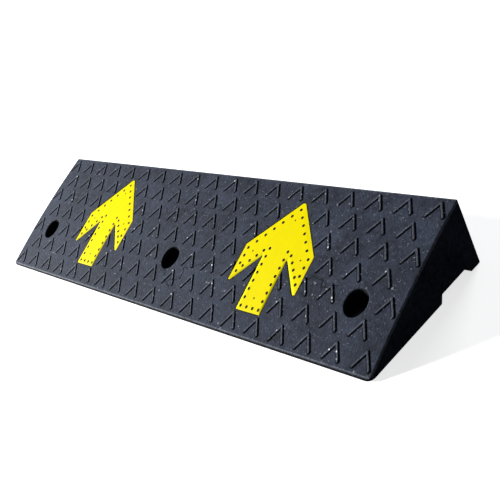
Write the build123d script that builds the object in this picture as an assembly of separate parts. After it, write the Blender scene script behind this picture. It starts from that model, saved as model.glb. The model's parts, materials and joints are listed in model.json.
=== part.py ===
from build123d import *
import os
from math import hypot, sqrt

# A moulded rubber kerb ramp, in millimetres.
# X runs along the kerb, Y from the thin toe to the tall back, Z up.
# The origin is on the ground, in the middle of the length and of the width.

# Overall size
LENGTH = 1000.0
WIDTH = 240.0
HEIGHT = 100.0
TOE_LIP = 3.0            # upright lip where the tread starts
CROWN = 4.6              # how far the tread bulges above a straight line

# Edges of the moulding
END_ROUND = 3.5          # rounding of the tread into each end face
BACK_MARGIN = 2.5        # bare strip of tread along the back edge
TOE_CORNER = 10.0        # front corners, seen from above
BACK_CORNER = 4.0        # back corners, seen from above

# Drainage channel, open underneath along the whole length
CHANNEL_DEPTH = 11.0
CHANNEL_TOP = 55.0       # width of its ceiling
CHANNEL_MOUTH = 68.0     # width at the ground
BACK_FOOT = 22.0         # foot left between the channel and the back face

# Grip chevrons: raised ribs in staggered rows, apex up the slope
PITCH = 53.125
COLUMNS = 19
ROWS = 7
ROW_STEP = 33.6
FIRST_APEX = 231.4       # from the toe to the apex of the top row
RIB_REACH = 13.8         # from the apex to the end of a leg, along X
RIB_DROP = 20.5          # and down the slope, seen from above
RIB_WIDTH = 4.6
RIB_HEIGHT = 1.4

# Fixings: three counterbored holes with a steel washer moulded in
FIXING_STEP = 8 * PITCH
FIXING_ROW = 83.0        # from the toe to the hole centres
SOCKET_RADIUS = 19.0     # room for a bolt head and its spanner
BOLT_HOLE_RADIUS = 9.0
WASHER_RADIUS = 25.0
WASHER_THICK = 4.0
SHOULDER = 16.0          # height of the washer's top face above the ground

# Arrow markings: perforated film, flush with the tread
ARROW_PLACE = 4.5 * PITCH
ARROW_HALF = 75.0        # half the width over the barbs
SHAFT_HALF = 27.0
SHAFT_FOOT = 35.0        # from the toe to the foot of the shaft
BARB_FOOT = 72.0
BARB_TOE = 5.0           # blunt width at the foot of each barb
NOTCH = 117.0            # where the barb meets the shaft
SHOULDER_LINE = 129.0    # where the head edge meets the barb's outer side
TIP = 209.0
TIP_ROUND = 5.0
FILM_THICK = 1.2
FILM_GAP = 0.05          # moulding allowance round everything that is set in
DOT_RADIUS = 2.5
PIN_RADIUS = 1.4
DOT_STEP = 12.5
DOT_INSET = 6.5          # from the foot of the shaft to its first dots
TIP_INSET = 14.0         # from the tip to the dot under it

BACK = WIDTH / 2
TOE = -WIDTH / 2
OVERRUN = 30.0           # how far working blanks run past the finished part


def tread_arc():
    """Radius of the tread's circle, and the place of its centre."""
    run = WIDTH
    rise = HEIGHT - TOE_LIP
    chord = hypot(run, rise)
    radius = (chord * chord / 4 + CROWN * CROWN) / (2 * CROWN)
    inward = radius - CROWN
    centre_y = TOE + run / 2 + rise / chord * inward
    centre_z = TOE_LIP + rise / 2 - run / chord * inward
    return radius, centre_y, centre_z


RADIUS, CENTRE_Y, CENTRE_Z = tread_arc()


def tread_height(y):
    """Height of the tread above the ground at a place across the ramp."""
    return CENTRE_Z + sqrt(RADIUS ** 2 - (y - CENTRE_Y) ** 2)


def tread_curve(start, end, lift=0.0):
    middle = (start + end) / 2
    points = [(y, tread_height(y) + lift) for y in (start, middle, end)]
    return ThreePointArc(*points)


def across(lines, length=LENGTH):
    """A shape drawn across the ramp, run along the kerb."""
    face = Plane.YZ * make_face(lines)
    return extrude(face, amount=length / 2, both=True)


def under_tread(start, end, floor):
    top = tread_curve(start, end)
    sides = Polyline(top @ 1, (end, floor), (start, floor), top @ 0)
    return across([top, sides])


def tread_skin(top_lift, bottom_lift):
    """The layer between two copies of the tread, one above the other."""
    upper = tread_curve(TOE - 1, BACK - BACK_MARGIN, top_lift)
    lower = tread_curve(TOE - 1, BACK - BACK_MARGIN, bottom_lift)
    ends = [Line(upper @ 0, lower @ 0), Line(upper @ 1, lower @ 1)]
    return across([upper, lower] + ends, LENGTH - 2)


def footprint():
    """The outline on the ground, with its four rounded corners."""
    square = Rectangle(LENGTH, WIDTH)
    rounded = fillet(square.vertices().sort_by(Axis.Y)[:2], TOE_CORNER)
    return fillet(rounded.vertices().sort_by(Axis.Y)[-2:], BACK_CORNER)


def blank():
    """The ramp with no holes, channel or pattern.

    The rounding of the ends runs past the toe and past the back,
    so that it dies away cleanly where the footprint cuts it.
    """
    wedge = under_tread(TOE - OVERRUN, BACK + OVERRUN, -2 * OVERRUN)
    ends = wedge.faces().filter_by(Axis.X)
    crests = [face.edges().filter_by(GeomType.CIRCLE)[0] for face in ends]
    wedge = fillet(crests, END_ROUND)
    return wedge & extrude(footprint(), amount=HEIGHT + OVERRUN)


def channel():
    back_side = BACK - BACK_FOOT
    lean = (CHANNEL_MOUTH - CHANNEL_TOP) / 2
    mouth = [(back_side, -1), (back_side - CHANNEL_MOUTH, -1)]
    foot = [(back_side, 0), (back_side - CHANNEL_MOUTH, 0)]
    ceiling_back = back_side - lean
    roof = [(ceiling_back, CHANNEL_DEPTH), (ceiling_back - CHANNEL_TOP, CHANNEL_DEPTH)]
    outline = [mouth[0], foot[0], roof[0], roof[1], foot[1], mouth[1]]
    return across([Polyline(*outline, close=True)], LENGTH + 2)


def fixing_places():
    return [(step * FIXING_STEP, TOE + FIXING_ROW) for step in (-1, 0, 1)]


def arrow_places():
    return [(side * ARROW_PLACE, 0) for side in (-1, 1)]


def chevron():
    """One rib outline, with its apex at the origin and its legs down the slope."""
    legs = Polyline((-RIB_REACH, -RIB_DROP), (0, 0), (RIB_REACH, -RIB_DROP))
    return trace(legs, line_width=RIB_WIDTH)


def chevron_places():
    places = []
    for row in range(ROWS):
        odd = row % 2
        apex = TOE + FIRST_APEX - row * ROW_STEP
        count = COLUMNS - odd
        places += [((i - (count - 1) / 2) * PITCH, apex) for i in range(count)]
    return places


def arrow_outline(grow=0.0):
    """The arrow seen from above, pointing up the slope."""
    half = [
        (SHAFT_HALF, SHAFT_FOOT),
        (SHAFT_HALF, NOTCH),
        (ARROW_HALF - BARB_TOE, BARB_FOOT),
        (ARROW_HALF, BARB_FOOT),
        (ARROW_HALF, SHOULDER_LINE),
    ]
    right = [(x, TOE + y) for x, y in half]
    left = [(-x, y) for x, y in reversed(right)]
    arrow = make_face(Polyline(*right, (0, TOE + TIP), *left, close=True))
    tip = arrow.vertices().sort_by(Axis.Y)[-1]
    arrow = fillet(tip, TIP_ROUND)
    return offset(arrow, grow, kind=Kind.INTERSECTION) if grow else arrow


def perforations():
    """Places of the dots along the outline, on one half of an arrow."""
    first = SHAFT_FOOT + DOT_INSET
    shaft = [(20.0, first + i * DOT_STEP) for i in range(8)]
    foot = [(6.7, first)]
    barb_side = [(66.5, BARB_FOOT + 14.5 + i * DOT_STEP) for i in range(4)]
    barb_inner = [(30.5 + i * 9.2, NOTCH + 7.5 - i * 9.5) for i in range(4)]
    head = [(i * 11.08, TIP - TIP_INSET - i * 11.83) for i in range(1, 6)]
    return shaft + foot + barb_side + barb_inner + head


def perforation_discs(grow=0.0):
    half = perforations()
    both = half + [(-x, y) for x, y in half] + [(0, TIP - TIP_INSET)]
    dots = [Pos(x, TOE + y) * Circle(DOT_RADIUS + grow) for x, y in both]
    pins = [(0, TIP - 31.5), (0, SHAFT_FOOT + 20.5)]
    pins += [(side * 53, NOTCH + 3.5) for side in (-1, 1)]
    return dots + [Pos(x, TOE + y) * Circle(PIN_RADIUS + grow) for x, y in pins]


def upright(flat):
    """A flat outline pulled straight up through the tread."""
    return extrude(flat, amount=HEIGHT + OVERRUN)


def ramp_body():
    body = blank() - channel()
    ribs = Sketch() + [Pos(*place) * chevron() for place in chevron_places()]
    ribs -= [Pos(*place) * Circle(SOCKET_RADIUS + 3) for place in fixing_places()]
    ribs -= [Pos(*place) * arrow_outline() for place in arrow_places()]
    body += upright(ribs) & tread_skin(RIB_HEIGHT, -1.0)
    recess = arrow_outline(FILM_GAP) - perforation_discs(-FILM_GAP)
    layer = tread_skin(2.0, -FILM_THICK - FILM_GAP)
    body -= [upright(Pos(*place) * recess) & layer for place in arrow_places()]
    for x, y in fixing_places():
        body -= Pos(x, y, SHOULDER) * upright(Circle(SOCKET_RADIUS))
        body -= Pos(x, y, -1) * upright(Circle(BOLT_HOLE_RADIUS))
        pocket = Circle(WASHER_RADIUS + FILM_GAP)
        low = SHOULDER - WASHER_THICK - FILM_GAP
        body -= Pos(x, y, low) * extrude(pocket, amount=WASHER_THICK + 2 * FILM_GAP)
    return body


def arrow_marking(place):
    film = arrow_outline() - perforation_discs()
    return upright(Pos(*place) * film) & tread_skin(0.0, -FILM_THICK)


def fixing_washer(x, y):
    ring = Circle(WASHER_RADIUS) - Circle(BOLT_HOLE_RADIUS)
    return Pos(x, y, SHOULDER - WASHER_THICK) * extrude(ring, amount=WASHER_THICK)


os.makedirs("parts", exist_ok=True)
export_step(ramp_body(), "parts/ramp_body.step")
for side, place in zip(("left", "right"), arrow_places()):
    export_step(arrow_marking(place), f"parts/arrow_marking_{side}.step")
for side, place in zip(("left", "centre", "right"), fixing_places()):
    export_step(fixing_washer(*place), f"parts/fixing_washer_{side}.step")
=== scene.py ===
# %% [markdown]
# # A rubber kerb ramp
#
# The real thing is one heavy moulding of black crumb rubber, a metre long. A car climbs its
# bulging tread from a thin toe to the top of a kerb. Two yellow film arrows are moulded in flush
# with the tread, and three deep holes take the ground anchors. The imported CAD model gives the
# frame: every size and place below is worked out from it, in metres.

# %% Load the frame
import json
from math import asin, cos, hypot, pi, radians, sin

import bmesh
import bpy
import numpy as np
from mathutils import Matrix, Vector
from mathutils.geometry import delaunay_2d_cdt

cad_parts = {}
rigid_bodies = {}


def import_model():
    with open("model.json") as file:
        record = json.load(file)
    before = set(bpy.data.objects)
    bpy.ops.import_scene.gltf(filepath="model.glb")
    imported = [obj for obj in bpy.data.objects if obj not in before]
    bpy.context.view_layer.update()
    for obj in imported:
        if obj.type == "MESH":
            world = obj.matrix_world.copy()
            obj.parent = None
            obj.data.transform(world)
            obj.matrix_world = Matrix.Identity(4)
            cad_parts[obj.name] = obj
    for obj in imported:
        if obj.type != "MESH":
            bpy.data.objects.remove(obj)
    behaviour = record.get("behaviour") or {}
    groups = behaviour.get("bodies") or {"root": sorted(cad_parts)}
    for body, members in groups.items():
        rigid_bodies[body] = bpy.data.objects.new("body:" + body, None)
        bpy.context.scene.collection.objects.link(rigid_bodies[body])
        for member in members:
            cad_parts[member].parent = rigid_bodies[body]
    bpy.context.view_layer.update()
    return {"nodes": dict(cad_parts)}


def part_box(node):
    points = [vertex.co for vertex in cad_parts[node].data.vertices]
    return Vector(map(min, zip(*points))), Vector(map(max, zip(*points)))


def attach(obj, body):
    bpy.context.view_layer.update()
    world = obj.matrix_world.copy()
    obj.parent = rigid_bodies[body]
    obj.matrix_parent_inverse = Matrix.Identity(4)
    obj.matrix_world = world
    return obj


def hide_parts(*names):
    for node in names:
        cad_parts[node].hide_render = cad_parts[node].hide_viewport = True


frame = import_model()
print("nodes:", sorted(frame["nodes"]))

# %% [markdown]
# ## The tread as one circle
#
# Looked at from the end, the tread is a very flat arc: it bulges only a few millimetres above the
# straight line from toe to top. A Bezier profile would do, but an arc has a formula, and a
# formula can lift any point of a flat plan onto the tread. That is how this whole piece is made.

# %% Sizes of the body
MM = 0.001
body_low, body_high = (Vector(corner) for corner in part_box("ramp_body"))
LENGTH = body_high.x - body_low.x
WIDTH = body_high.y - body_low.y
HEIGHT = body_high.z - body_low.z
END = LENGTH / 2
BACK = WIDTH / 2
TOE = -WIDTH / 2
TOE_LIP = 3 * MM
CROWN = 4.6 * MM
print(f"body {LENGTH:.3f} x {WIDTH:.3f} x {HEIGHT:.3f} m")

# %% Height of the tread
chord = hypot(WIDTH, HEIGHT - TOE_LIP)
RADIUS = (chord ** 2 / 4 + CROWN ** 2) / (2 * CROWN)
inward = RADIUS - CROWN
CENTRE_Y = TOE + WIDTH / 2 + (HEIGHT - TOE_LIP) / chord * inward
CENTRE_Z = TOE_LIP + (HEIGHT - TOE_LIP) / 2 - WIDTH / chord * inward


def tread(y):
    """Height of the bare tread above the ground."""
    return CENTRE_Z + np.sqrt(RADIUS ** 2 - (y - CENTRE_Y) ** 2)


print(f"tread arc radius {RADIUS:.3f} m")

# %% [markdown]
# ## Where the pattern goes
#
# The grip is a field of raised chevrons, apex up the slope, in seven rows that are staggered like
# bricks. The fixing holes stand on chevron places, eight pitches apart, so the washers of the CAD
# model give the pitch. The arrows cut the pattern off at their outline.

# %% Places of the pattern
ROWS = 7
COLUMNS = 19
ROW_STEP = 33.6 * MM
FIRST_APEX = 231.4 * MM
HOLE_STEP = 8               # pitches from one fixing hole to the next
HOLE_CLEAR = 0.45           # pitches round a hole that hold no chevron
SIDES = ("left", "centre", "right")
washer_boxes = [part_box(f"fixing_washer_{side}") for side in SIDES]
sockets = [((Vector(low) + Vector(high)) / 2).xy for low, high in washer_boxes]
PITCH = (sockets[2].x - sockets[0].x) / (2 * HOLE_STEP)

chevrons = []
for row in range(ROWS):
    count = COLUMNS - row % 2
    apex_y = TOE + FIRST_APEX - row * ROW_STEP
    for column in range(count):
        apex = Vector(((column - (count - 1) / 2) * PITCH, apex_y))
        if min((apex - socket).length for socket in sockets) > HOLE_CLEAR * PITCH:
            chevrons.append(apex)
print(f"{len(chevrons)} chevrons at a pitch of {PITCH:.5f} m")

# %% [markdown]
# ## The arrow outline
#
# Each arrow is a sheet of yellow film, laid in the mould before the rubber. Small holes along its
# outline let the rubber flow through and key the film. The outline and the holes are a plan here,
# and both the film and its bed in the rubber are made from it.

# %% Arrow plan
ARROW_HALF = 75 * MM
SHAFT_HALF = 27 * MM
SHAFT_FOOT = 35 * MM
BARB_FOOT = 72 * MM
BARB_TOE = 5 * MM
NOTCH = 117 * MM
SHOULDER_LINE = 129 * MM
TIP = 209 * MM
TIP_ROUND = 5 * MM
CORNER_ROUND = 1.6 * MM
NOTCH_ROUND = 0.5 * MM
arrow_boxes = [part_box(f"arrow_marking_{side}") for side in ("left", "right")]
arrow_middles = [(low[0] + high[0]) / 2 for low, high in arrow_boxes]


def rounded(corners, radii, steps=5):
    """A closed outline with each corner replaced by an arc."""
    outline = []
    for index, (corner, radius) in enumerate(zip(corners, radii)):
        back = (corners[index - 1] - corner).normalized()
        ahead = (corners[(index + 1) % len(corners)] - corner).normalized()
        half = back.angle(ahead) / 2
        middle = corner + (back + ahead).normalized() * radius / sin(half)
        start = corner + back * radius * cos(half) / sin(half) - middle
        end = corner + ahead * radius * cos(half) / sin(half) - middle
        turn = start.angle_signed(end)
        for step in range(steps + 1):
            spun = Matrix.Rotation(-turn * step / steps, 2) @ start
            outline.append(middle + spun)
    return outline


def arrow_outline():
    half = [
        (SHAFT_HALF, SHAFT_FOOT), (SHAFT_HALF, NOTCH), (ARROW_HALF - BARB_TOE, BARB_FOOT),
        (ARROW_HALF, BARB_FOOT), (ARROW_HALF, SHOULDER_LINE),
    ]
    corners = [Vector((x, TOE + y)) for x, y in half]
    corners += [Vector((0, TOE + TIP))] + [Vector((-c.x, c.y)) for c in reversed(corners)]
    radii = [CORNER_ROUND] * len(corners)
    radii[len(half)] = TIP_ROUND
    radii[1] = radii[-2] = NOTCH_ROUND
    return rounded(corners, radii)


# %% Perforations
# Dots run along the outline, a little inside it; four smaller pin holes sit further in.
DOT_RADIUS = 2.5 * MM
PIN_RADIUS = 1.4 * MM
DOT_STEP = 12.5 * MM
DOT_INSET = 6.5 * MM
TIP_INSET = 14 * MM
SHAFT_ROW = 20 * MM
FOOT_DOT = 6.7 * MM
BARB_ROW = 66.5 * MM
BARB_INSET = 14.5 * MM
INNER_START = (30.5 * MM, 7.5 * MM)
INNER_STEP = (9.2 * MM, -9.5 * MM)
HEAD_STEP = (11.08 * MM, -11.83 * MM)
TIP_PIN = 31.5 * MM
FOOT_PIN = 20.5 * MM
BARB_PIN = (53 * MM, 3.5 * MM)


def dot_row(count, x, y, step_x, step_y):
    return [(x + i * step_x, y + i * step_y) for i in range(count)]


def perforations(middle):
    """(place, radius) of every hole in one film, about the arrow's middle line."""
    foot = SHAFT_FOOT + DOT_INSET
    top = TIP - TIP_INSET
    half = dot_row(8, SHAFT_ROW, foot, 0, DOT_STEP)
    half += [(FOOT_DOT, foot)]
    half += dot_row(4, BARB_ROW, BARB_FOOT + BARB_INSET, 0, DOT_STEP)
    half += dot_row(4, INNER_START[0], NOTCH + INNER_START[1], *INNER_STEP)
    half += dot_row(5, HEAD_STEP[0], top + HEAD_STEP[1], *HEAD_STEP)
    dots = half + [(-x, y) for x, y in half] + [(0, top)]
    pins = [(0, TIP - TIP_PIN), (0, SHAFT_FOOT + FOOT_PIN)]
    pins += [(side * BARB_PIN[0], NOTCH + BARB_PIN[1]) for side in (-1, 1)]
    places = [(x, y, DOT_RADIUS) for x, y in dots] + [(x, y, PIN_RADIUS) for x, y in pins]
    return [(Vector((middle + x, TOE + y)), radius) for x, y, radius in places]


# %% Working with outlines
def inset_outline(path, amount):
    """A closed outline moved inwards, for a path that runs anticlockwise."""
    moved = []
    for index, point in enumerate(path):
        along = (path[(index + 1) % len(path)] - path[index - 1]).normalized()
        moved.append(point + Vector((-along.y, along.x)) * amount)
    return moved


def distance_to(path, points):
    """How far each point is from a closed outline."""
    nearest = np.full(len(points), np.inf)
    for start, end in zip(path, path[1:] + path[:1]):
        side = np.array(end - start)
        offset = points - np.array(start)
        along = np.clip(offset @ side / (side @ side), 0, 1)
        nearest = np.minimum(nearest, np.linalg.norm(offset - along[:, None] * side, axis=1))
    return nearest


shifts = [Vector((middle, 0)) for middle in arrow_middles]
arrows = [[point + shift for point in arrow_outline()] for shift in shifts]
print(f"arrow outline of {len(arrows[0])} points, {len(perforations(0.0))} perforations")

# %% [markdown]
# ## Cross-sections, edges and corners
#
# Moulded rubber has no sharp edges where a tyre meets it. Each rib is a low dome with a soft foot,
# the hole mouths are rounded, and the tread rolls over into the end faces.

# %% Rib section
# Pairs: how far from the rib's middle line, and how high above the tread, in mm.
RIB_REACH = 13.8 * MM
RIB_DROP = 20.5 * MM
RIB_HEIGHT = 1.5
RIB_BORDER = 0.6 * MM       # bare tread drawn round each rib, for a crisp foot
RIB_SECTION = [
    (0.0, RIB_HEIGHT), (0.8, 1.47), (1.3, 1.36), (1.7, 1.10),
    (2.0, 0.70), (2.25, 0.33), (2.55, 0.10), (2.95, 0.0),
]
ARROW_MARGINS = [0.7 * MM, 1.2 * MM, 1.8 * MM, 2.4 * MM]
rib_offsets, rib_lifts = np.array(RIB_SECTION).T * MM
print(f"ribs {2 * rib_offsets[-1] / MM:.1f} mm wide at the foot, {RIB_HEIGHT} mm high")


# %% Rib outlines
ROUND_STEPS = 6             # steps round the end of a leg
APEX_STEPS = 2              # steps round each half of the apex


def rib_loop(apex, away):
    """Outline at one distance from the middle line of a chevron."""
    leg = Vector((RIB_REACH, -RIB_DROP)).normalized()
    outer = Vector((-leg.y, leg.x))
    half_turn = asin(leg.x)
    foot = Vector((RIB_REACH, -RIB_DROP))
    right = [Vector((0, -away / sin(half_turn)))]
    for step in range(ROUND_STEPS + 1):
        turn = -pi + step * pi / ROUND_STEPS
        right.append(foot + away * (Matrix.Rotation(turn, 2) @ outer))
    for step in range(APEX_STEPS + 1):
        turn = step * (pi / 2 - half_turn) / APEX_STEPS
        right.append(away * (Matrix.Rotation(turn, 2) @ outer))
    left = [Vector((-point.x, point.y)) for point in reversed(right[1:-1])]
    return [apex + point for point in right + left]


def rib_line(apex):
    """The middle line of a chevron, from foot to foot."""
    return [apex + Vector((side * RIB_REACH, -RIB_DROP if side else 0.0)) for side in (-1, 0, 1)]


# %% Rib heights
RIB_SEARCH = 4 * MM         # how far past a chevron its ribs can still matter


def rib_distance(points):
    """Distance to the middle line of the nearest chevron, where one is near."""
    nearest = np.ones(len(points))
    for apex in chevrons:
        near = np.flatnonzero(
            (abs(points[:, 0] - apex.x) < RIB_REACH + RIB_SEARCH)
            & (abs(points[:, 1] - apex.y + RIB_DROP / 2) < RIB_DROP / 2 + RIB_SEARCH)
        )
        for side in (-1, 1):
            leg = np.array((side * RIB_REACH, -RIB_DROP))
            offset = points[near] - np.array(apex)
            along = np.clip(offset @ leg / (leg @ leg), 0, 1)
            away = np.linalg.norm(offset - along[:, None] * leg, axis=1)
            nearest[near] = np.minimum(nearest[near], away)
    return nearest


def off_arrows(points):
    """Rises from 0 to 1 over the margin beside the arrows, where the ribs die away."""
    fade_start, fade_end = ARROW_MARGINS[0], ARROW_MARGINS[-1]
    to_arrow = np.minimum(*(distance_to(arrow, points) for arrow in arrows))
    return np.clip((to_arrow - fade_start) / (fade_end - fade_start), 0, 1)


def rib_lift(points):
    """How far the chevrons stand above the bare tread at each point."""
    return np.interp(rib_distance(points), rib_offsets, rib_lifts) * off_arrows(points)


# %% Rounded edges
END_ROUND = 3.5 * MM
BACK_ROUND = 1.2 * MM
TOE_ROUND = 1.0 * MM
SOCKET_RADIUS = 19 * MM
MOUTH_ROUND = 2.0 * MM
TOE_CORNER = 10 * MM
BACK_CORNER = 4 * MM
LEAST_SIDE = 2 * MM         # upright side that is left below the rounding, near the toe


def quarter_round(inset, radius):
    """How far a rounded edge has dropped at a distance from the edge."""
    short = 1 - np.clip(inset / radius, 0, 1)
    return radius * (1 - np.sqrt(1 - short ** 2))


def surface(points):
    """Height of the finished moulding above the ground, seen from above."""
    y = points[:, 1]
    height = tread(y)
    end_share = np.minimum(1, (height - LEAST_SIDE) / END_ROUND)
    height = height - quarter_round(END - abs(points[:, 0]), END_ROUND) * end_share
    height -= quarter_round(y - TOE, TOE_ROUND)
    height -= quarter_round(BACK - y, BACK_ROUND)
    for socket in sockets:
        away = np.linalg.norm(points - np.array(socket), axis=1) - SOCKET_RADIUS
        height -= quarter_round(away, MOUTH_ROUND)
    return height + rib_lift(points)


# %% [markdown]
# ## From a plan to a moulding
#
# The rubber leaves its mould straight upwards, so seen from above nothing hides anything else:
# the whole top is a height over a flat plan. Booleans would leave ragged triangles, and a
# displaced grid would need millions of points for such thin ribs. Here the plan is triangulated
# so that its edges follow every rib, rim and outline, and then each point is lifted.

# %% Plan tools
def inside(points, outline):
    """Which points lie inside a closed outline."""
    corners = np.array([(corner.x, corner.y) for corner in outline])
    hit = np.zeros(len(points), bool)
    for (x0, y0), (x1, y1) in zip(corners, np.roll(corners, -1, axis=0)):
        if y0 == y1:
            continue
        spans = (points[:, 1] < y0) != (points[:, 1] < y1)
        cross = x0 + (points[:, 1] - y0) * (x1 - x0) / (y1 - y0)
        hit ^= spans & (points[:, 0] < cross)
    return hit


def within(outline, holes):
    """A test for what lies inside an outline and outside its holes."""
    def keep(points):
        kept = inside(points, outline)
        for hole in holes:
            kept &= ~inside(points, hole)
        return kept

    return keep


def circle(centre, radius, steps):
    turns = [2 * pi * step / steps for step in range(steps)]
    return [centre + radius * Vector((cos(turn), sin(turn))) for turn in turns]


def flat(item):
    return item.co.xy if isinstance(item, bmesh.types.BMVert) else Vector(item)


# %% Sorting the triangles
def kept_regions(places, triangles, drawn, keep):
    """Sorts whole regions between drawn edges, so that no sliver goes astray."""
    region = list(range(len(triangles)))

    def root(index):
        while region[index] != index:
            region[index] = region[region[index]]
            index = region[index]
        return index

    beside = {}
    for index, triangle in enumerate(triangles.tolist()):
        for side in range(3):
            join = frozenset((triangle[side - 1], triangle[side]))
            if join in beside and join not in drawn:
                region[root(index)] = root(beside[join])
            beside[join] = index
    corners = places[triangles]
    spans = corners[:, 1:] - corners[:, :1]
    areas = abs(spans[:, 0, 0] * spans[:, 1, 1] - spans[:, 0, 1] * spans[:, 1, 0])
    inner = keep(corners.mean(axis=1))
    roots = np.array([root(index) for index in range(len(triangles))])
    largest = {}
    for index in np.argsort(areas):
        largest[roots[index]] = index
    return np.array([inner[largest[index]] for index in roots])


# %% Laying a plan
MERGE = 1e-4                # plan points closer than this many mm become one


def lay(mesh, height, keep, loops, lines=(), points=()):
    """Triangulates a plan and lifts it, reusing any mesh points in its loops."""
    items = []
    edges = []
    for path in list(loops) + list(lines):
        first = len(items)
        items += path
        edges += [(first + i, first + i + 1) for i in range(len(path) - 1)]
        if path in loops:
            edges.append((len(items) - 1, first))
    items += points
    plan = [flat(item) / MM for item in items]
    places, joins, triangles, sources, join_sources, _ = delaunay_2d_cdt(plan, edges, [], 1, MERGE)
    places = np.array([(place.x, place.y) for place in places]) * MM
    drawn = {frozenset(join) for join, source in zip(joins, join_sources) if source}
    triangles = np.array(triangles)
    triangles = triangles[kept_regions(places, triangles, drawn, keep)]
    heights = height(places)
    points_made = {}
    for index in np.unique(triangles):
        known = [items[i] for i in sources[index] if isinstance(items[i], bmesh.types.BMVert)]
        x, y = places[index]
        points_made[index] = known[0] if known else mesh.verts.new((x, y, heights[index]))
    return [mesh.faces.new([points_made[i] for i in triangle]) for triangle in triangles]


# %% Rings and bands
def rings(mesh):
    """Every open boundary of a mesh, each as points in order."""
    ahead = {}
    for edge in mesh.edges:
        if len(edge.link_faces) == 1:
            corner = next(c for c in edge.link_faces[0].loops if c.edge == edge)
            ahead[corner.vert] = corner.link_loop_next.vert
    found = []
    while ahead:
        start, point = ahead.popitem()
        ring = [start]
        while point != start:
            ring.append(point)
            point = ahead.pop(point)
        found.append(ring)
    return found


def step_ring(mesh, ring, places):
    """A band of faces from a ring of points to the same number of new places."""
    new = [mesh.verts.new(place) for place in places]
    for index, point in enumerate(ring):
        previous = index - 1
        mesh.faces.new((point, ring[previous], new[previous], new[index]))
    return new


def plan_of(ring):
    return [point.co.xy for point in ring]


def at_tread(plan, lift):
    """The points of a plan, set above or below the bare tread."""
    return [(*place, float(tread(place.y)) + lift) for place in plan]


def tread_layer(lift):
    return lambda places: tread(places[:, 1]) + lift


def middle_of(ring):
    return sum(plan_of(ring), Vector((0, 0))) / len(ring)


# %% [markdown]
# ## The plan of the tread
#
# Along every edge and rib a few lines lie close together and become the rounding. The open
# stretches only need scattered points, because the tread bends so gently.

# %% Lines of the plan
CHANNEL_DEPTH = 11 * MM
CHANNEL_LEAN = 6.5 * MM
CHANNEL_FRONT = TOE + 150 * MM
CHANNEL_BACK = TOE + 218 * MM
channel_corners = [
    (CHANNEL_FRONT, 0.0), (CHANNEL_FRONT + CHANNEL_LEAN, CHANNEL_DEPTH),
    (CHANNEL_BACK - CHANNEL_LEAN, CHANNEL_DEPTH), (CHANNEL_BACK, 0.0),
]
RUN = 10 * MM               # usual spacing of the points along a straight line
ROUND_CORNER_STEPS = 6


def channel_height(y):
    return float(np.interp(y, *zip(*channel_corners)))


def spaced(start, end, run=RUN):
    """Evenly spaced values strictly between two others."""
    steps = max(1, round(abs(end - start) / run))
    return [start + (end - start) * step / steps for step in range(1, steps)]


def footprint():
    """The outline on the ground, with a point wherever the channel's section turns."""
    square = [Vector((-END, TOE)), Vector((END, TOE)), Vector((END, BACK)), Vector((-END, BACK))]
    radii = [TOE_CORNER, TOE_CORNER, BACK_CORNER, BACK_CORNER]
    corners = rounded(square, radii, ROUND_CORNER_STEPS)
    outline = []
    for point, following in zip(corners, corners[1:] + corners[:1]):
        outline.append(point)
        if abs(following.x - point.x) > 2 * RUN:
            outline += [Vector((x, point.y)) for x in spaced(point.x, following.x)]
        elif abs(following.y - point.y) > 2 * RUN:
            stops = [point.y] + [y for y, z in channel_corners] + [following.y]
            stops.sort(reverse=following.y < point.y)
            run = [y for low, high in zip(stops, stops[1:]) for y in [low] + spaced(low, high)]
            outline += [Vector((point.x, y)) for y in run[1:]]
    return outline


# %% Lines along the edges
# A rounding is drawn by lines at even turns of its quarter circle, then one line past its end.
def rounding_places(radius, turns):
    """Distances from the edge at which a rounded edge has turned by the given degrees."""
    return [radius * (1 - sin(radians(turn))) for turn in turns]


MOUTH_STEPS = 72
PAST_END = 1.0 * MM
PAST_TOE = (0.6 * MM, 1.6 * MM, 3.0 * MM)
PAST_BACK = 0.8 * MM
PAST_MOUTH = 0.8 * MM

outline = footprint()
mouths = [circle(socket, SOCKET_RADIUS, MOUTH_STEPS) for socket in sockets]

end_lines = [END - inset for inset in rounding_places(END_ROUND, (0, 15, 30, 45, 60, 75))]
end_lines.append(END - END_ROUND - PAST_END)
cross_lines = [TOE + inset for inset in rounding_places(TOE_ROUND, (0, 30, 60))]
cross_lines += [BACK - inset for inset in rounding_places(BACK_ROUND, (0, 22, 45, 67))]
cross_lines += [TOE + TOE_ROUND + past for past in PAST_TOE]
cross_lines.append(BACK - BACK_ROUND - PAST_BACK)

# %% Every line and loop
lines = []
for side in (-1, 1):
    for x in end_lines:
        lines.append([Vector((side * x, y)) for y in [TOE] + spaced(TOE, BACK) + [BACK]])
for y in cross_lines:
    lines.append([Vector((x, y)) for x in [-END] + spaced(-END, END) + [END]])
lines += [rib_line(apex) for apex in chevrons]

loops = [outline] + arrows + mouths
loops += [inset_outline(arrow, -margin) for arrow in arrows for margin in ARROW_MARGINS]
for apex in chevrons:
    loops += [rib_loop(apex, away * MM) for away, lift in RIB_SECTION[1:]]
    loops.append(rib_loop(apex, RIB_SECTION[-1][0] * MM + RIB_BORDER))
for socket in sockets:
    for inset in rounding_places(MOUTH_ROUND, (0, 18, 36, 54, 72)):
        loops.append(circle(socket, SOCKET_RADIUS + inset, MOUTH_STEPS))
    loops.append(circle(socket, SOCKET_RADIUS + MOUTH_ROUND + PAST_MOUTH, MOUTH_STEPS))

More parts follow.
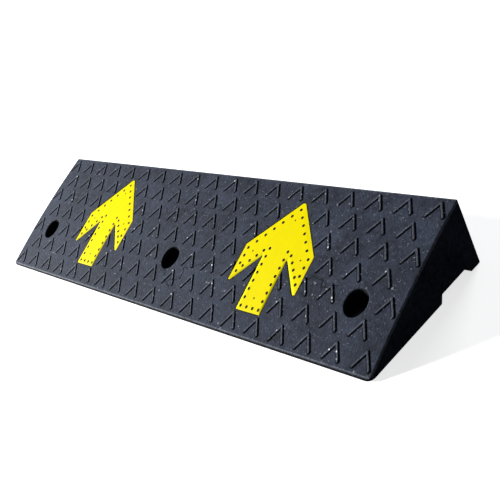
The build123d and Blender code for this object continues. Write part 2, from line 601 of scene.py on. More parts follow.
# %% Scattered points
SCATTER_RUN = 11 * MM
HOLE_MARGIN = 5 * MM
grid_x = spaced(END_ROUND - END, END - END_ROUND, PITCH / 4)
grid_y = spaced(TOE, BACK, SCATTER_RUN)
scatter = np.array([(x, y) for x in grid_x for y in grid_y])
clear = rib_lift(scatter) == 0
near_holes = [circle(socket, SOCKET_RADIUS + HOLE_MARGIN, 24) for socket in sockets]
for shape in arrows + near_holes:
    clear &= ~inside(scatter, shape)
scatter = [Vector(point) for point in scatter[clear]]
print(f"plan: {len(loops)} loops, {len(lines)} lines, {len(scatter)} scattered points")

# %% Tread
body_mesh = bmesh.new()
lay(body_mesh, surface, within(outline, arrows + mouths), loops, lines, scatter)
print(f"tread: {len(body_mesh.verts)} points, {len(body_mesh.faces)} faces")

# %% [markdown]
# ## Holes, beds and the underside
#
# Below the tread nothing is rounded by hand: each open boundary is carried down as a band of
# faces. A fixing hole goes down to its steel washer, swells round it, because the washer was in
# the mould first, and goes on as the narrow bolt hole. The bed of each arrow is one film thick,
# with a pip of rubber standing in it for every perforation.

# %% Fixing holes
BOLT_RADIUS = 9 * MM
WASHER_RADIUS = 25 * MM
WASHER_GAP = 0.05 * MM
MOUTH_DEPTH = 1 * MM        # straight wall just below the mouth


def at_radius(ring, centre, radius, z):
    arms = [(place - centre).normalized() for place in plan_of(ring)]
    return [(*(centre + arm * radius), z) for arm in arms]


def nearest_socket(place):
    return min(range(len(sockets)), key=lambda i: (place - sockets[i]).length)


def sink_hole(ring):
    """Carries one mouth down its socket, round the washer and out of the sole."""
    index = nearest_socket(middle_of(ring))
    centre = sockets[index]
    washer_low, washer_high = (corner[2] for corner in washer_boxes[index])
    mouth_z = min(point.co.z for point in ring) - MOUTH_DEPTH
    floor_z = washer_high + WASHER_GAP
    roof_z = washer_low - WASHER_GAP
    pocket = WASHER_RADIUS + WASHER_GAP
    section = [
        (SOCKET_RADIUS, mouth_z), (SOCKET_RADIUS, floor_z), (pocket, floor_z),
        (pocket, roof_z), (BOLT_RADIUS, roof_z), (BOLT_RADIUS, 0.0),
    ]
    for radius, z in section:
        ring = step_ring(body_mesh, ring, at_radius(ring, centre, radius, z))
    return ring


open_rings = sorted(rings(body_mesh), key=len)
outer_ring = open_rings.pop()
socket_rings = []
arrow_rings = []
for ring in open_rings:
    middle = middle_of(ring)
    is_socket = (middle - sockets[nearest_socket(middle)]).length < MM
    (socket_rings if is_socket else arrow_rings).append(ring)
bolt_rings = [sink_hole(ring) for ring in socket_rings]
print(f"{len(bolt_rings)} fixing holes, {len(arrow_rings)} arrow beds")

# %% Arrow beds
FILM_THICK = 1.2 * MM
BED_GAP = 0.05 * MM
BED_DEPTH = FILM_THICK + BED_GAP
PIP_CROWN = 0.1 * MM
# Each step of a pip: its share of the radius, and how far it stands above the tread.
PIP_SECTION = ((1.0, -0.12 * MM), (0.9, 0.0), (0.55, PIP_CROWN * 0.7))
DOT_STEPS = 16
PIN_STEPS = 12


def round_steps(radius):
    return DOT_STEPS if radius > PIN_RADIUS + 2 * BED_GAP else PIN_STEPS


def pip(mesh, centre, radius):
    """A stud of rubber that fills one perforation, standing up from the bed."""
    steps = round_steps(radius)
    foot = [mesh.verts.new(place) for place in at_tread(circle(centre, radius, steps), -BED_DEPTH)]
    ring = foot
    for share, lift in PIP_SECTION:
        ring = step_ring(mesh, ring, at_tread(circle(centre, radius * share, steps), lift))
    top = mesh.verts.new((*centre, float(tread(centre.y)) + PIP_CROWN))
    for index, point in enumerate(ring):
        mesh.faces.new((point, ring[index - 1], top))
    return foot


def arrow_bed(ring):
    """Sinks one arrow by the film's thickness and lays its floor round the pips."""
    middle = min(arrow_middles, key=lambda x: abs(x - middle_of(ring).x))
    edge = step_ring(body_mesh, ring, at_tread(plan_of(ring), -BED_DEPTH))
    holes = perforations(middle)
    feet = [pip(body_mesh, place, radius - BED_GAP) for place, radius in holes]
    on_bed = within(plan_of(edge), [plan_of(foot) for foot in feet])
    lay(body_mesh, tread_layer(-BED_DEPTH), on_bed, [edge] + feet)


for ring in arrow_rings:
    arrow_bed(ring)
print(f"arrow beds {BED_DEPTH / MM:.2f} mm deep")

# %% [markdown]
# ## Sides, drainage channel and sole
#
# The outline of the tread drops straight to the ground, except where the channel shows in the two
# end faces. The channel itself is straight along the whole length, so it is a set of long bands
# between matching points of the two ends, and the sole is one flat sheet round the bolt holes.

# %% Sides and channel
NEAR = 0.01 * MM
ground = [(*place, channel_height(place.y)) for place in plan_of(outer_ring)]
sole = step_ring(body_mesh, outer_ring, ground)
in_channel = [point for point in sole if CHANNEL_FRONT - NEAR < point.co.y < CHANNEL_BACK + NEAR]
left_end = sorted((p for p in in_channel if p.co.x < 0), key=lambda p: p.co.y)
right_end = sorted((p for p in in_channel if p.co.x > 0), key=lambda p: p.co.y)
for index in range(len(left_end) - 1):
    corners = (left_end[index], right_end[index], right_end[index + 1], left_end[index + 1])
    body_mesh.faces.new(corners)
print(f"channel {CHANNEL_DEPTH / MM:.0f} mm deep, {len(left_end) - 1} bands")


# %% Sole
def walk(keep):
    """The points of the sole's outline that pass a test, in order, starting after a gap."""
    flags = [keep(point.co.y) for point in sole]
    start = next(i for i, flag in enumerate(flags) if flag and not flags[i - 1])
    turned = sole[start:] + sole[:start]
    return [point for point in turned if keep(point.co.y)]


front_sole = walk(lambda y: y < CHANNEL_FRONT + NEAR)
back_foot = walk(lambda y: y > CHANNEL_BACK - NEAR)
on_sole = within(plan_of(front_sole), [plan_of(ring) for ring in bolt_rings])
lay(body_mesh, lambda places: np.zeros(len(places)), on_sole, [front_sole] + bolt_rings)
body_mesh.faces.new(back_foot)
open_edges = sum(1 for edge in body_mesh.edges if len(edge.link_faces) != 2)
print(f"body: {len(body_mesh.verts)} points, {len(body_mesh.faces)} faces, {open_edges} open edges")

# %% [markdown]
# ## Finishing a mesh
#
# Faces are shaded smooth, and every fold sharper than a set angle is marked sharp, so domes and
# rounded edges look round while outlines stay crisp.

# %% Mesh to object
SHARP = radians(38)


def finished(mesh, name, sharp=SHARP):
    """Turns a bmesh into an object with outward faces and crisp folds."""
    bmesh.ops.recalc_face_normals(mesh, faces=mesh.faces)
    if mesh.calc_volume(signed=True) < 0:
        bmesh.ops.reverse_faces(mesh, faces=mesh.faces)
    for face in mesh.faces:
        face.smooth = True
    for edge in mesh.edges:
        edge.smooth = len(edge.link_faces) == 2 and edge.calc_face_angle() < sharp
    data = bpy.data.meshes.new(name)
    mesh.to_mesh(data)
    print(f"{name}: {len(mesh.faces)} faces, volume {mesh.calc_volume() * 1e6:.1f} cm3")
    mesh.free()
    piece = bpy.data.objects.new(name, data)
    bpy.context.scene.collection.objects.link(piece)
    return piece


# %% Marks on a piece
# The body carries a few numbers at every point, such as how near an edge is, worked out from the
# same plan as the shape. The rubber reads them by name.
def mark(piece, name, values):
    layer = piece.data.attributes.new(name, "FLOAT", "POINT")
    layer.data.foreach_set("value", np.asarray(values, dtype=np.float32))


# %% Body piece
body = finished(body_mesh, "ramp_moulding")
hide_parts("ramp_body")
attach(body, "root")

# %% Where the body wears, and where highlights are painted
SKIN_DEPTH = 2.1 * MM       # points less than this below the bare tread belong to its top
EDGE_REACH = 4 * MM         # wear and painted highlight fade out this far from an edge
HOLE_EASE = 1.2 * MM        # a hole's rim gets less of both, as if it were this much further away
TOE_LINE = 2.2 * MM         # the toe gets a thin pale line, partly wear and partly painted highlight, this far up the tread
TOE_NARROW = 1.6            # and this much narrower than the other edges
places = np.array([point.co for point in body.data.vertices])
plan = places[:, :2]
on_top = places[:, 2] > tread(places[:, 1]) - SKIN_DEPTH
from_hole = np.min([np.linalg.norm(plan - np.array(place), axis=1) for place in sockets], axis=0)
from_toe = TOE_NARROW * abs(places[:, 1] - TOE - TOE_LINE)
inset = np.minimum(END - abs(places[:, 0]), np.minimum(from_toe, BACK - places[:, 1]))
inset = np.minimum(inset, abs(from_hole - SOCKET_RADIUS) + HOLE_EASE)
mark(body, "tread", np.where(on_top, 1.0, 0.0))
# The crest and edge marks make the rubber paler: partly wear, partly painted highlight.
mark(body, "crest", np.where(on_top, rib_lift(plan) / (RIB_HEIGHT * MM), 0.0))
mark(body, "edge", np.where(on_top, np.clip(1 - inset / EDGE_REACH, 0, 1), 0.0))
print(f"{on_top.sum()} of {len(places)} points on the top")

# %% Where shade is painted
RIB_FOOT_SHADE = (0.9, 1.7, 3.0, 3.55)        # mm from a rib's middle: painted shade starts, full, full, ends
HOLE_RIM = 1.4 * MM         # painted shade starts this far outside a hole's wall
RIM_FADE = 1.2 * MM
LIP_TOP = 2.0 * MM          # the toe lip is painted in shade up to here
LIP_FADE = 0.8 * MM
FILM_SHARPNESS = 1.5        # how quickly the painted shade line round an arrow fades
# Painted shade: a dark band along the foot of every rib, where the ribs' shadows fall on the tread.
rib_foot_shade = np.interp(rib_distance(plan), np.array(RIB_FOOT_SHADE) * MM, (0.0, 1.0, 1.0, 0.0))
# Painted shade: the hole walls and rims, the lip face under the toe and a thin line round each
# arrow, where shade falls.
hole_shade = np.clip((SOCKET_RADIUS + HOLE_RIM - from_hole) / RIM_FADE, 0, 1)
lip_shade = np.clip((TOE + LIP_TOP - places[:, 1]) / LIP_FADE, 0, 1)
arrow_line_shade = np.clip(1 - FILM_SHARPNESS * off_arrows(plan), 0, 1)
above_sole = places[:, 2] > MM
in_arrow = inside(places, arrows[0]) | inside(places, arrows[1])
mark(body, "foot", np.where(on_top, rib_foot_shade * off_arrows(plan), 0.0))
mark(body, "painted_unlit", np.maximum(np.maximum(hole_shade, arrow_line_shade) * above_sole, lip_shade))
# Painted shade: inside each arrow the pips and the bed are painted near-black, like shadowed holes.
mark(body, "pip", np.where(in_arrow & (places[:, 2] > 0), 1.0, 0.0))
print("marks:", [layer.name for layer in body.data.attributes if layer.domain == "POINT"])

# %% [markdown]
# ## The film arrows
#
# Marking film is stiff and thin, so each arrow is a sheet with real holes, bent onto the arc of
# the tread, with its cut edge slightly softened. A flat decal would slide or shimmer in the
# renders, and the rubber pips could not stand in it.

# %% Film plan
FILM_EDGE = 0.2 * MM        # softening of the cut edge
GROOVE = 0.35 * MM          # dark gap between the film and the rubber
FILM_GRID = 9 * MM
BORDER_CLEAR = 3 * MM
HOLE_CENTRE_CLEAR = 3.5 * MM


def film_grid(middle, border, spots):
    """Points inside the film that let it bend, clear of its border and holes."""
    across = spaced(middle - ARROW_HALF, middle + ARROW_HALF, FILM_GRID)
    upwards = spaced(TOE + SHAFT_FOOT, TOE + TIP, FILM_GRID)
    grid = [Vector((x, y)) for x in across for y in upwards]
    places = np.array(grid)
    free = inside(places, inset_outline(border, BORDER_CLEAR))
    for place, radius in spots:
        free &= np.linalg.norm(places - np.array(place), axis=1) > HOLE_CENTRE_CLEAR
    return [point for point, flag in zip(grid, free) if flag]


def film_rim(ring, border, spots):
    """Where the cut edge below a ring lies: round its own hole, or along the border."""
    centre = middle_of(ring)
    for place, radius in spots:
        if (place - centre).length < FILM_EDGE and len(ring) == round_steps(radius):
            return [place + (point - place).normalized() * radius for point in plan_of(ring)]
    return [min(border, key=lambda corner: (corner - point).length) for point in plan_of(ring)]


# %% Film sheet
def film_sheet(arrow, middle):
    """One film as a closed sheet: its face, the edge of every cut, and its underside."""
    mesh = bmesh.new()
    border = inset_outline(arrow, GROOVE)
    top_border = inset_outline(border, FILM_EDGE)
    spots = perforations(middle)
    top_holes = [circle(place, r + FILM_EDGE / 2, round_steps(r)) for place, r in spots]
    on_film = within(top_border, top_holes)
    grid = film_grid(middle, border, spots)
    lay(mesh, tread_layer(0.0), on_film, [top_border] + top_holes, (), grid)
    for ring in rings(mesh):
        rim = film_rim(ring, border, spots)
        ring = step_ring(mesh, ring, at_tread(rim, -FILM_EDGE))
        step_ring(mesh, ring, at_tread(rim, -FILM_THICK))
    lower = rings(mesh)
    *holes, outside = sorted((plan_of(ring) for ring in lower), key=len)
    lay(mesh, tread_layer(-FILM_THICK), within(outside, holes), lower)
    return mesh


# %% Film pieces
films = []
for side, arrow, middle in zip(("left", "right"), arrows, arrow_middles):
    film = finished(film_sheet(arrow, middle), f"arrow_film_{side}")
    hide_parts(f"arrow_marking_{side}")
    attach(film, "root")
    films.append(film)

# %% [markdown]
# ## The steel washers
#
# A punched steel washer has one rounded edge where the punch pressed and one sharper edge where
# it tore. It is turned from its section here, as a lathe would, because only its top face shows at
# the bottom of a deep hole and the light just catches that rounded rim.

# %% Washer section
PUNCH_ROUND = 0.6 * MM
WASHER_STEPS = 96


def washer_section(outer, low_z, high_z):
    """Radius and height round the ring's section, with its upper edges rounded."""
    arc = [(1 - sin(radians(turn)), 1 - cos(radians(turn))) for turn in (90, 60, 30, 0)]
    rounding = [(out * PUNCH_ROUND, high_z - down * PUNCH_ROUND) for out, down in arc]
    outer_edge = [(outer - out, z) for out, z in reversed(rounding)]
    inner_edge = [(BOLT_RADIUS + out, z) for out, z in rounding]
    return outer_edge + [(outer, low_z), (BOLT_RADIUS, low_z)] + inner_edge


def turned_ring(centre, section):
    """A closed section turned about an upright axis."""
    mesh = bmesh.new()
    bands = []
    for radius, z in section:
        around = circle(Vector((0, 0)), radius, WASHER_STEPS)
        bands.append([mesh.verts.new((*(centre + place), z)) for place in around])
    for near, far in zip(bands, bands[1:] + bands[:1]):
        for index in range(WASHER_STEPS):
            mesh.faces.new((near[index - 1], near[index], far[index], far[index - 1]))
    return mesh


# %% Washers
washers = []
for side, centre, (low, high) in zip(SIDES, sockets, washer_boxes):
    section = washer_section((high[0] - low[0]) / 2, low[2], high[2])
    washer = finished(turned_ring(centre, section), f"steel_washer_{side}")
    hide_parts(f"fixing_washer_{side}")
    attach(washer, "root")
    washers.append(washer)

# %% [markdown]
# ## Shared finishes as node groups
#
# The rubber, the film and the steel all live in the same dust and get scuffed by the same tyres.
# Each of those effects is one node group that works from the place on the object, so it stays put
# in every view. A group only gives masks and values: each material decides what they do.

# %% Building with nodes
def feed(tree, socket, source):
    """Links the output that feeds a socket, or sets its number or colour."""
    if isinstance(source, bpy.types.NodeSocket):
        tree.links.new(source, socket)
    elif socket.type == "RGBA":
        socket.default_value = (*source, 1.0)
    else:
        socket.default_value = source


def feed_all(tree, made, sources):
    for key, source in sources.items():
        feed(tree, made.inputs[key], source)


def node(tree, kind, sources, **settings):
    """Adds a node with its settings, and feeds its sockets by name or by place."""
    made = tree.nodes.new(kind)
    for key, value in settings.items():
        setattr(made, key, value)
    feed_all(tree, made, sources)
    return made


def math(tree, operation, *terms):
    """One sum: each term is a number or the output that feeds it."""
    return node(tree, "ShaderNodeMath", dict(enumerate(terms)), operation=operation).outputs[0]


def remap(tree, value, low, high, start=0.0, end=1.0):
    """Moves a value from one range to another, and holds it there."""
    sources = {0: value, 1: low, 2: high, 3: start, 4: end}
    return node(tree, "ShaderNodeMapRange", sources, clamp=True).outputs[0]


def noise(tree, place, scale, detail, roughness=0.5):
    sources = {"Vector": place, "Scale": scale, "Detail": detail, "Roughness": roughness}
    return node(tree, "ShaderNodeTexNoise", sources)


# %% Building a group
def new_group(name, inputs, outputs):
    """An empty effect: its tree, its given numbers, its results, and the place on the piece."""
    group = bpy.data.node_groups.new(name, "ShaderNodeTree")
    for label, default in inputs.items():
        socket = group.interface.new_socket(label, in_out="INPUT", socket_type="NodeSocketFloat")
        socket.default_value = default
    for label in outputs:
        group.interface.new_socket(label, in_out="OUTPUT", socket_type="NodeSocketFloat")
    given = group.nodes.new("NodeGroupInput").outputs
    results = group.nodes.new("NodeGroupOutput").inputs
    place = group.nodes.new("ShaderNodeTexCoord").outputs["Object"]
    print(f"group {name}: {', '.join(inputs)} -> {', '.join(outputs)}")
    return group, given, results, place


# %% [markdown]
# ## Crumb flecks
#
# Crumb rubber is ground tyres pressed with a binder, so pale flecks of cord show in its skin. A
# noise would give soft clouds. Voronoi cells give separate grains: a few are chosen by their
# colour, and each gets its own size.

# %% Crumb group
LARGEST_FLECK = 0.45        # of a cell
FLECK_EDGE = 0.12
crumb, given, results, place = new_group("crumb_flecks", {"Scale": 500.0, "Share": 0.2}, ["Mask"])
cells = node(crumb, "ShaderNodeTexVoronoi", {"Vector": place, "Scale": given["Scale"]})
chance = node(crumb, "ShaderNodeSeparateColor", {0: cells.outputs["Color"]}).outputs
chosen = math(crumb, "LESS_THAN", chance[0], given["Share"])
fleck_size = math(crumb, "MULTIPLY", chance[1], LARGEST_FLECK)
fleck = math(crumb, "SUBTRACT", fleck_size, cells.outputs["Distance"])
fleck = remap(crumb, fleck, 0.0, FLECK_EDGE)
feed(crumb, results["Mask"], math(crumb, "MULTIPLY", fleck, chosen))

# %% [markdown]
# ## Moulded grain
#
# The skin copies the sand-blasted mould: fine pimples over slow waves. Modelled, they would cost
# millions of faces, so a fine noise is a height for a Bump node, and a slow one shifts the colour
# and the sheen.

# %% Grain group
grain_inputs = {"Fine Scale": 900.0, "Broad Scale": 25.0}
grain, given, results, place = new_group("moulded_grain", grain_inputs, ["Height", "Clouds"])
fine = noise(grain, place, given["Fine Scale"], 3.0, 0.6)
broad = noise(grain, place, given["Broad Scale"], 4.0, 0.55)
feed(grain, results["Height"], fine.outputs[0])
feed(grain, results["Clouds"], remap(grain, broad.outputs[0], 0.3, 0.7))

# %% [markdown]
# ## Settled dust
#
# Road dust settles on what faces up, and unevenly: the upward part of the normal, times a noise
# cut at a threshold.

# %% Dust group
dust, given, results, place = new_group("settled_dust", {"Scale": 60.0, "Amount": 0.3}, ["Mask"])
normal = dust.nodes.new("ShaderNodeNewGeometry").outputs["Normal"]
facing = node(dust, "ShaderNodeSeparateXYZ", {0: normal}).outputs["Z"]
patches = noise(dust, place, given["Scale"], 6.0, 0.7)
upward = remap(dust, facing, 0.2, 1.0)
patchy = remap(dust, patches.outputs[0], 0.42, 0.75)
settled = math(dust, "MULTIPLY", upward, patchy)
feed(dust, results["Mask"], math(dust, "MULTIPLY", settled, given["Amount"]))

# %% [markdown]
# ## Knit lines
#
# Where two flows of rubber met in the mould they left a hairline seam. The borders between large
# Voronoi cells run like that once a noise has bent them, and another noise keeps short stretches.

# %% Knit line group
BEND = (0.06, 0.06, 0.06)
knit, given, results, place = new_group("knit_lines", {"Scale": 7.0, "Width": 0.01}, ["Mask"])
wander = noise(knit, place, 30.0, 3.0)
bend_sources = {0: wander.outputs["Color"], 1: BEND, 2: place}
bend = node(knit, "ShaderNodeVectorMath", bend_sources, operation="MULTIPLY_ADD")
cell_sources = {"Vector": bend.outputs[0], "Scale": given["Scale"]}
borders = node(knit, "ShaderNodeTexVoronoi", cell_sources, feature="DISTANCE_TO_EDGE")
nearness = math(knit, "DIVIDE", borders.outputs["Distance"], given["Width"])
line = math(knit, "SUBTRACT", 1.0, math(knit, "MINIMUM", nearness, 1.0))
broken = noise(knit, place, 9.0, 2.0)
stretches = remap(knit, broken.outputs[0], 0.56, 0.62)
feed(knit, results["Mask"], math(knit, "MULTIPLY", line, stretches))

# %% [markdown]
# ## Putting a material together
#
# Every material is a Principled shader with the groups above placed in it. Colours are laid over
# each other like coats of paint, each through its own mask.

# %% Material helpers
MIX_FACTOR, MIX_UNDER, MIX_OVER, MIX_RESULT = 0, 6, 7, 2    # colour sockets of a Mix node


def new_material(name):
    material = bpy.data.materials.new(name)
    material.use_nodes = True
    tree = material.node_tree
    return material, tree, tree.nodes["Principled BSDF"]


def use_group(tree, group, **values):
    """Places a shared effect with its own values, and gives its outputs."""
    made = tree.nodes.new("ShaderNodeGroup")
    made.node_tree = group
    for key, value in values.items():
        made.inputs[key.replace("_", " ")].default_value = value
    return made.outputs


def mixed(tree, share, under, over):
    """One colour laid over another by a share or a mask."""
    sources = {MIX_FACTOR: share, MIX_UNDER: under, MIX_OVER: over}
    return node(tree, "ShaderNodeMix", sources, data_type="RGBA").outputs[MIX_RESULT]


def marked(tree, name):
    """The number that a piece carries at every point under this name."""
    return node(tree, "ShaderNodeAttribute", {}, attribute_name=name).outputs["Fac"]


def bumps(tree, height, strength, distance):
    sources = {"Strength": strength, "Distance": distance, "Height": height}
    return node(tree, "ShaderNodeBump", sources).outputs[0]


def paint(pieces, material):
    for piece in pieces:
        piece.data.materials.clear()
        piece.data.materials.append(material)
    print(f"{material.name}: {len(material.node_tree.nodes)} nodes, pieces: {len(pieces)}")


# %% [markdown]
# ## Black crumb rubber
#
# Pressed rubber is a near-black blue-grey with a dull sheen. It is palest on the crests of the
# ribs and along the edges, partly polished by tyres and partly painted highlight, and white
# glints are painted on the crests. It is flecked with crumbs all over. Painted shade keeps the
# foot of every rib, the holes, the toe lip, the line round each arrow and the pips dark.

# %% Rubber colours
RUBBER_DARK = (0.004, 0.006, 0.011)
RUBBER_LIGHT = (0.060, 0.070, 0.108)
# pale for crests and edges: partly wear, partly painted highlight
RUBBER_WEAR_AND_HIGHLIGHT = (0.17, 0.185, 0.225)
# near-black for the knit seams, and for the painted shade at rib feet, holes, toe lip, arrow lines
# and pips
SEAM_AND_SHADE_BLACK = (0.002, 0.002, 0.003)
CRUMB_PALE = (0.32, 0.33, 0.37)
# white for the glints painted on the rib crests
GLINT_WHITE = (0.85, 0.87, 0.90)
DUST_GREY = (0.13, 0.135, 0.15)

# %% Rubber effects
rubber, tree, shader = new_material("black_crumb_rubber")
skin = use_group(tree, grain, Fine_Scale=330.0, Broad_Scale=16.0)
mottle = use_group(tree, grain, Fine_Scale=1200.0, Broad_Scale=130.0)
flecks = use_group(tree, crumb, Scale=380.0, Share=0.3)["Mask"]
big_flecks = use_group(tree, crumb, Scale=200.0, Share=0.05)["Mask"]
# Painted highlight: white glints scattered on the rib crests.
crest_glints = use_group(tree, crumb, Scale=230.0, Share=0.2)["Mask"]
seams = use_group(tree, knit, Scale=6.0, Width=0.012)["Mask"]
film_of_dust = use_group(tree, dust, Scale=45.0, Amount=0.08)["Mask"]
marks = ("crest", "edge", "foot", "painted_unlit", "tread", "pip")
crest, edge, foot, painted_unlit, on_tread, pips = (marked(tree, name) for name in marks)

# %% Rubber wear and painted highlights
# Crests and edges are painted paler, partly as wear where tyres polish them and partly as painted
# highlight where the key light catches them.
CREST_WEAR_AND_HIGHLIGHT = 0.45
crest_top = remap(tree, crest, 0.6, 1.0)
crest_wear_and_highlight = math(tree, "MULTIPLY", crest_top, remap(tree, skin["Height"], 0.35, 0.65, 0.25, 1.0))
edge_patches = remap(tree, mottle["Clouds"], 0.0, 1.0, 0.35, 0.9)
edge_wear_and_highlight = math(tree, "MULTIPLY", remap(tree, edge, 0.4, 0.75), edge_patches)
wear_and_highlight = math(tree, "MAXIMUM", math(tree, "MULTIPLY", crest_wear_and_highlight, CREST_WEAR_AND_HIGHLIGHT), edge_wear_and_highlight)
small_clouds = math(tree, "MULTIPLY", mottle["Clouds"], 0.5)
clouds = math(tree, "MULTIPLY_ADD", skin["Clouds"], 0.5, small_clouds)

# %% Rubber colour
fine_share = math(tree, "MULTIPLY", flecks, remap(tree, on_tread, 0.0, 1.0, 0.12, 0.5))
big_share = math(tree, "MULTIPLY", big_flecks, remap(tree, on_tread, 0.0, 1.0, 0.1, 0.6))
coats = [
    # painted shade at the foot of every rib
    (math(tree, "MULTIPLY", foot, 0.97), SEAM_AND_SHADE_BLACK),
    # partly wear, partly painted highlight on crests and edges
    (wear_and_highlight, RUBBER_WEAR_AND_HIGHLIGHT),
    (film_of_dust, DUST_GREY),
    (fine_share, CRUMB_PALE),
    (big_share, CRUMB_PALE),
    # painted highlight: glints on the rib crests
    (math(tree, "MULTIPLY", crest_glints, crest_top), GLINT_WHITE),
    (math(tree, "MULTIPLY", seams, 0.85), SEAM_AND_SHADE_BLACK),
    # painted shade in the holes, on the toe lip and round each arrow
    (math(tree, "MULTIPLY", painted_unlit, 0.9), SEAM_AND_SHADE_BLACK),
    # painted shade: the pips, near-black like shadowed holes
    (pips, SEAM_AND_SHADE_BLACK),
]
colour = mixed(tree, clouds, RUBBER_DARK, RUBBER_LIGHT)
for share, coat in coats:
    colour = mixed(tree, share, colour, coat)

# %% Rubber sheen and relief
dullness = remap(tree, clouds, 0.0, 1.0, 0.76, 0.88)
dullness = math(tree, "ADD", dullness, math(tree, "MULTIPLY", foot, 0.2))
polished = math(tree, "MULTIPLY", wear_and_highlight, 0.3)
relief = math(tree, "MULTIPLY_ADD", mottle["Height"], 0.35, skin["Height"])
relief = math(tree, "MULTIPLY_ADD", flecks, 0.3, relief)
relief = math(tree, "MULTIPLY_ADD", seams, -0.8, relief)
feed_all(tree, shader, {
    "Base Color": colour,
    "Roughness": math(tree, "SUBTRACT", dullness, polished),
    "Specular IOR Level": 0.12,
    "Specular Tint": (0.75, 0.87, 1.0),
    "Normal": bumps(tree, relief, 0.9, 1.0 * MM),
})
paint([body], rubber)

# %% [markdown]
# ## Yellow marking film
#
# The film is a bright, nearly matt yellow. One flat colour would look printed, so a little dust
# and a few stains lie in it.

# %% Film finish
YELLOW = (1.0, 0.85, 0.0)
YELLOW_DEEP = (0.98, 0.81, 0.0)
SMEAR = (0.30, 0.26, 0.03)
film_paint, tree, shader = new_material("yellow_marking_film")
skin = use_group(tree, grain, Fine_Scale=700.0, Broad_Scale=30.0)
specks = use_group(tree, crumb, Scale=260.0, Share=0.05)["Mask"]
film_of_dust = use_group(tree, dust, Scale=70.0, Amount=0.10)["Mask"]
colour = mixed(tree, skin["Clouds"], YELLOW, YELLOW_DEEP)
colour = mixed(tree, film_of_dust, colour, SMEAR)
colour = mixed(tree, math(tree, "MULTIPLY", specks, 0.25), colour, SMEAR)
feed_all(tree, shader, {
    "Base Color": colour,
    "Roughness": remap(tree, skin["Clouds"], 0.0, 1.0, 0.5, 0.62),
    "Specular IOR Level": 0.015,
    "Normal": bumps(tree, skin["Height"], 0.15, 0.2 * MM),
})
paint(films, film_paint)

# %% [markdown]
# ## Zinc-plated steel
#
# The washers are zinc plated: pale grey with a faint cloudy spangle, under the dust that drops
# into every hole. Full Metallic gives the sheen, and the clouds break it up.

# %% Steel finish
ZINC = (0.55, 0.56, 0.57)
ZINC_DULL = (0.30, 0.30, 0.29)
steel, tree, shader = new_material("zinc_plated_steel")
skin = use_group(tree, grain, Fine_Scale=1500.0, Broad_Scale=160.0)
film_of_dust = use_group(tree, dust, Scale=220.0, Amount=0.5)["Mask"]
colour = mixed(tree, skin["Clouds"], ZINC, ZINC_DULL)
colour = mixed(tree, film_of_dust, colour, DUST_GREY)
feed_all(tree, shader, {
    "Base Color": colour,
    "Metallic": 1.0,
    "Roughness": remap(tree, skin["Clouds"], 0.0, 1.0, 0.3, 0.5),
    "Normal": bumps(tree, skin["Height"], 0.2, 0.1 * MM),
})
paint(washers, steel)

# %% [markdown]
# ## Floor
#
# The ramp stands on a plain pale floor, which glows a little so that it looks even and white. For
# light that bounces off it it is dark: a bright floor would wash out the ramp's shadows.

# %% Floor
FLOOR_HALF = 20.0
FLOOR_DROP = 0.2 * MM
FLOOR_PALE = (0.86, 0.86, 0.86)
FLOOR_DIM = (0.04, 0.04, 0.04)
FLOOR_GLOW = (0.72, 0.72, 0.72)
NO_GLOW = (0.0, 0.0, 0.0)
floor_mesh = bmesh.new()
bmesh.ops.create_grid(floor_mesh, x_segments=8, y_segments=8, size=FLOOR_HALF)
floor = finished(floor_mesh, "floor")
floor.location.z = -FLOOR_DROP
floor_paint, tree, shader = new_material("pale_floor")
seen = tree.nodes.new("ShaderNodeLightPath").outputs["Is Camera Ray"]
feed_all(tree, shader, {
    "Base Color": mixed(tree, seen, FLOOR_DIM, FLOOR_PALE),
    "Emission Color": mixed(tree, seen, NO_GLOW, FLOOR_GLOW),
    "Emission Strength": 1.0,
    "Roughness": 0.9,
    "Specular IOR Level": 0.0,
})
paint([floor], floor_paint)

# %% [markdown]
# ## Studio lights
#
# The key light is small, low and far off beyond the left end, a little to the toe's side. It
# grazes the tread, so every rib shows a bright flank and a dark one. A near lamp would fade along
# a metre of rubber. A weaker, wider lamp stands low behind, where only the back face sees it.

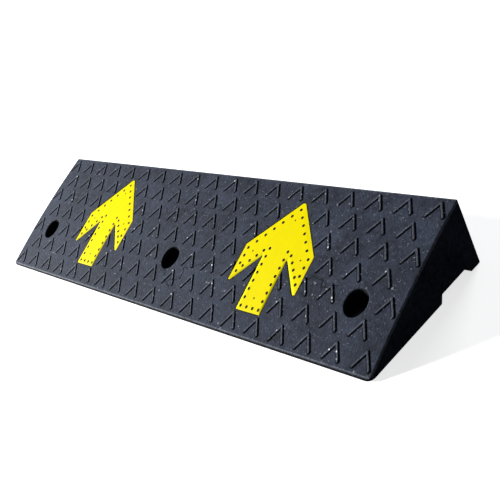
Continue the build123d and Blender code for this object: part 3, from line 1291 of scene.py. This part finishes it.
# %% Lights
LIGHT_AIM = (0, 0, 0.05)
LIGHTS = [                  # name, place, size, watts, colour
    ("key", (-5.45, -2.05, 2.1), (0.55, 0.55), 900.0, (0.97, 0.99, 1.0)),
    ("back", (-0.9, 4.2, 1.05), (1.6, 1.0), 150.0, (0.95, 0.97, 1.0)),
]


def soft_light(name, place, size, power, colour):
    data = bpy.data.lights.new(name, "AREA")
    data.shape = "RECTANGLE"
    data.size, data.size_y = size
    data.energy = power
    data.color = colour
    lamp = bpy.data.objects.new(name, data)
    lamp.location = place
    aim = Vector(LIGHT_AIM) - Vector(place)
    lamp.rotation_euler = aim.to_track_quat("-Z", "Y").to_euler()
    bpy.context.scene.collection.objects.link(lamp)
    print(f"light {name}: {power:.0f} W at {aim.length:.1f} m")


for light in LIGHTS:
    soft_light(*light)

# %% [markdown]
# ## Sky
#
# A faint, even sky fills the shadows. Seen directly it is as pale as the floor, so that no
# horizon shows.

# %% Sky
SKY_DIM = (0.085, 0.087, 0.090)
SKY_PALE = (0.92, 0.93, 0.94)
world = bpy.data.worlds.new("studio")
bpy.context.scene.world = world
world.use_nodes = True
tree = world.node_tree
seen = tree.nodes.new("ShaderNodeLightPath").outputs["Is Camera Ray"]
sky = tree.nodes["Background"]
feed_all(tree, sky, {"Color": mixed(tree, seen, SKY_DIM, SKY_PALE), "Strength": 1.0})
bpy.context.scene.view_settings.view_transform = "Standard"
print("sky:", world.name)

# %% [markdown]
# ## Camera
#
# The camera looks down the length of the ramp from beyond its right end, through a longish lens,
# and it is rolled so that the ramp runs corner to corner.

# %% Camera
CAMERA_PLACE = Vector((1.2039, -0.5893, 0.6796))
CAMERA_AIM = Vector((0.0857, 0.0544, 0.0))
CAMERA_ROLL = radians(-27.27)
camera_data = bpy.data.cameras.new("camera")
camera_data.lens = 64.0
camera = bpy.data.objects.new("camera", camera_data)
camera.location = CAMERA_PLACE
look = (CAMERA_AIM - CAMERA_PLACE).to_track_quat("-Z", "Y").to_matrix()
camera.rotation_euler = (look @ Matrix.Rotation(CAMERA_ROLL, 3, "Z")).to_euler()
bpy.context.scene.collection.objects.link(camera)
bpy.context.scene.camera = camera
print(f"camera {(CAMERA_PLACE - CAMERA_AIM).length:.2f} m from its aim")
